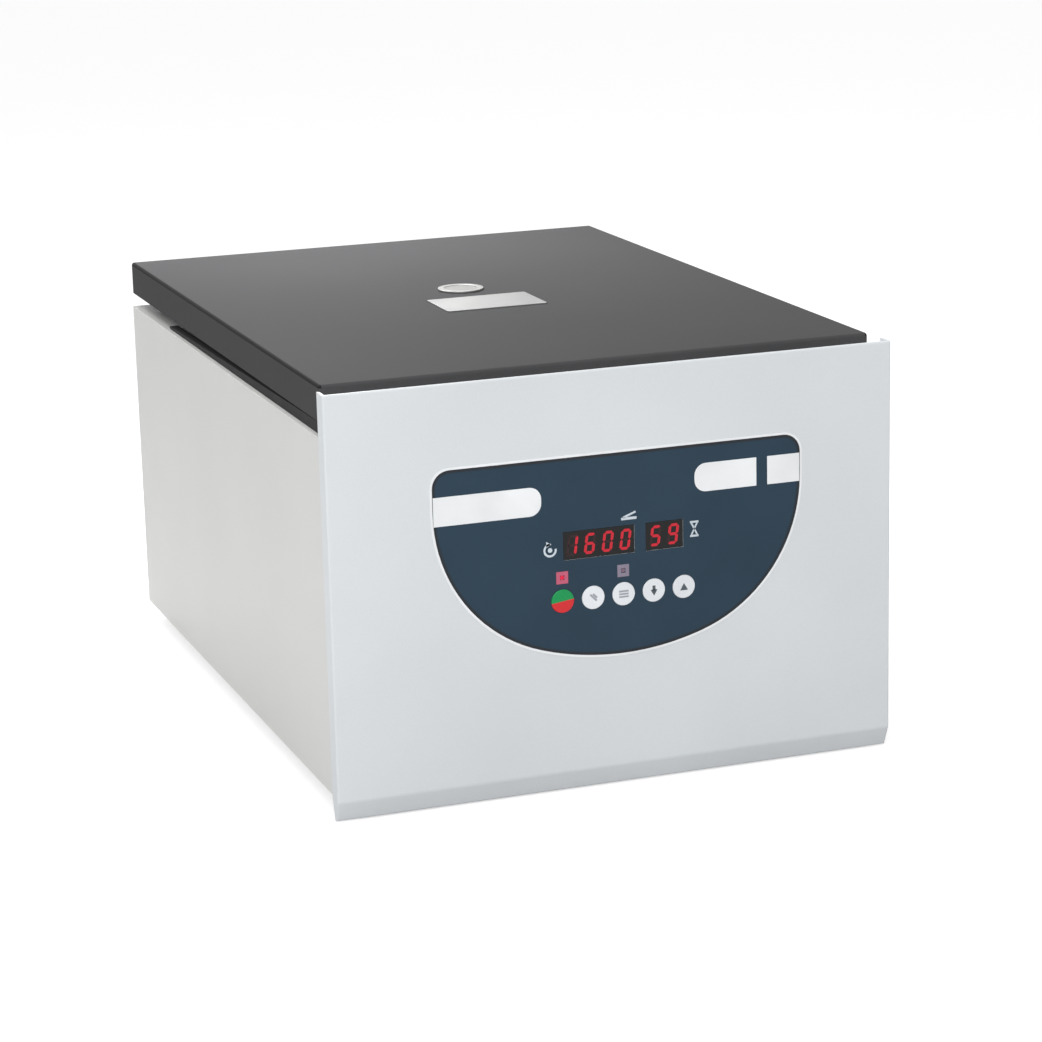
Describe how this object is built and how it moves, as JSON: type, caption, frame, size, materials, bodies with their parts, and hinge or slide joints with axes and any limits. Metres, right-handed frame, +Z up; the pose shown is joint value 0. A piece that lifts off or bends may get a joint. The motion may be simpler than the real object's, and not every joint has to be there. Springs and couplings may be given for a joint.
{
  "type": "butterfat centrifuge",
  "caption": "Bench centrifuge for butterfat tubes: sheet-metal cabinet, hinged dark lid with a viewport, angled rotor, and a front panel with keys and red digits.",
  "frame": {"origin": "on the bench, under the middle of the whole machine", "axes": "+X to the right seen from the front, +Y to the rear, +Z up"},
  "size_m": [0.4, 0.552, 0.292],
  "materials": {
    "panel_paint": "cool pale grey powder coat, satin",
    "cabinet_paint": "warm pale grey powder coat, satin",
    "lid_paint": "dark grey powder coat, satin",
    "zinc_sheet": "zinc-plated sheet",
    "stainless": "spun stainless steel",
    "rubber": "black rubber",
    "screw_steel": "bright zinc-plated steel",
    "motor_paint": "dark grey enamel",
    "cast_aluminium": "cast and machined aluminium",
    "lamination": "varnished electrical steel",
    "copper": "enamelled copper wire",
    "bearing_steel": "ground steel",
    "hinge_steel": "black-oxide steel",
    "black_plastic": "black moulded plastic",
    "overlay_film": "dark blue printed film, fine texture",
    "white_print": "white print on film",
    "display_black": "black display face",
    "lit_red": "lit red segments",
    "lamp_red": "red indicator lens",
    "circuit_board": "green solder mask",
    "brass": "plain brass",
    "cable_grey": "grey flat cable",
    "lens": "clear lens",
    "plate_aluminium": "brushed bare plate",
    "key_plastic": "white key film"
  },
  "bodies": {
    "cabinet": {"front_panel": "panel_paint", "left_side": "cabinet_paint", "right_side": "cabinet_paint", "deck": "cabinet_paint", "rear_panel": "cabinet_paint", "base_pan": "zinc_sheet", "feet": "rubber", "cabinet_screws": "screw_steel", "m5_screws": "screw_steel", "panel_nuts": "screw_steel", "bowl": "stainless", "bowl_boot": "rubber", "chamber_gasket": "rubber", "motor_housing": "motor_paint", "motor_end_caps": "cast_aluminium", "stator": "lamination", "stator_windings": "copper", "bearings": "bearing_steel", "motor_plate": "zinc_sheet", "isolators": "rubber", "cabinet_hinge_leaves": "hinge_steel", "hinge_pins": "bearing_steel", "lock_housing": "black_plastic", "lock_motor": "black_plastic", "control_overlay": "overlay_film", "label_fields": "white_print", "display_modules": "display_black", "lit_digits": "lit_red", "indicator_lamps": "lamp_red", "display_board": "circuit_board", "board_standoffs": "brass", "key_switches": "black_plastic", "power_board": "circuit_board", "board_parts": "cast_aluminium", "transformer": "lamination", "ribbon_cable": "cable_grey", "power_inlet": "black_plastic", "switch_frame": "black_plastic"},
    "rotor": {"drive_shaft": "bearing_steel", "armature": "lamination", "rotor_hub": "cast_aluminium", "upper_dish": "stainless", "lower_dish": "stainless", "tube_shields": "stainless", "tube_cushions": "rubber", "rotor_nut": "screw_steel"},
    "lid": {"lid_shell": "lid_paint", "lid_liner": "stainless", "viewport_bezel": "plate_aluminium", "viewport_lens": "lens", "lid_plate": "plate_aluminium", "lid_hinge_leaves": "hinge_steel", "lid_striker": "screw_steel"},
    "start_stop_key": {"start_stop_key": "key_plastic"},
    "mode_key": {"mode_key": "key_plastic"},
    "set_key": {"set_key": "key_plastic"},
    "down_key": {"down_key": "key_plastic"},
    "up_key": {"up_key": "key_plastic"},
    "lock_bolt": {"lock_bolt": "bearing_steel"},
    "power_rocker": {"power_rocker": "black_plastic"}
  },
  "joints": [
    {"name": "lid_hinge", "type": "hinge", "parent": "cabinet", "child": "lid", "pos_m": [0, 0.26925, 0.262], "axis": [-1, 0, 0], "range_deg": [0, 100]},
    {"name": "rotor_spin", "type": "hinge", "parent": "cabinet", "child": "rotor", "pos_m": [0, 0.038, 0.15], "axis": [0, 0, 1], "continuous": true},
    {"name": "lock_bolt_slide", "type": "slide", "parent": "cabinet", "child": "lock_bolt", "axis": [-1, 0, 0], "range_m": [0, 0.012]},
    {"name": "power_rocker_tilt", "type": "hinge", "parent": "cabinet", "child": "power_rocker", "pos_m": [0.13, 0.261, 0.108], "axis": [1, 0, 0], "range_deg": [-24, 0]},
    {"name": "start_stop_key_press", "type": "slide", "parent": "cabinet", "child": "start_stop_key", "axis": [0, 1, 0], "range_m": [0, 0.0007], "stiffness_N_per_m": 1500},
    {"name": "mode_key_press", "type": "slide", "parent": "cabinet", "child": "mode_key", "axis": [0, 1, 0], "range_m": [0, 0.0007], "stiffness_N_per_m": 1500},
    {"name": "set_key_press", "type": "slide", "parent": "cabinet", "child": "set_key", "axis": [0, 1, 0], "range_m": [0, 0.0007], "stiffness_N_per_m": 1500},
    {"name": "down_key_press", "type": "slide", "parent": "cabinet", "child": "down_key", "axis": [0, 1, 0], "range_m": [0, 0.0007], "stiffness_N_per_m": 1500},
    {"name": "up_key_press", "type": "slide", "parent": "cabinet", "child": "up_key", "axis": [0, 1, 0], "range_m": [0, 0.0007], "stiffness_N_per_m": 1500}
  ]
}
